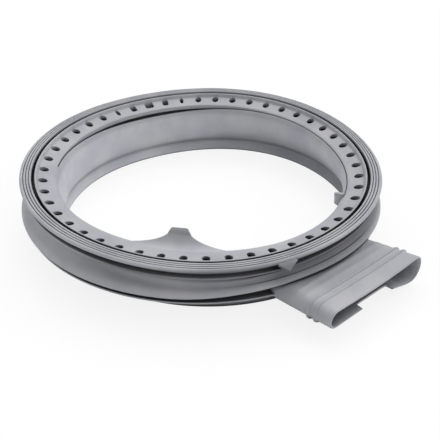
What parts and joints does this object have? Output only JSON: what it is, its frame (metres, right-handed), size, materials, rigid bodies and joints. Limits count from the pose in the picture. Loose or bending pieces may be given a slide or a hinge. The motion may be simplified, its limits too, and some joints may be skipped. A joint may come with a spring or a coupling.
{
  "type": "washing machine door seal",
  "caption": "Round grey rubber door seal with a ribbed tub flange, a ring of drain holes, a folded wall and a flat air duct at one side.",
  "frame": {"origin": "centre of the bounding box, on the surface that the seal lies on with its door lip down", "axes": "+Z from the door side up to the tub side; +Y from the arrow mark at the top of the machine towards the drain at the bottom; +X completes the frame, and the air duct points towards -Y"},
  "size_m": [0.4016, 0.4396, 0.08],
  "materials": {
    "rubber": "satin"
  },
  "bodies": {
    "root": {"door_seal": "rubber"}
  },
  "joints": []
}
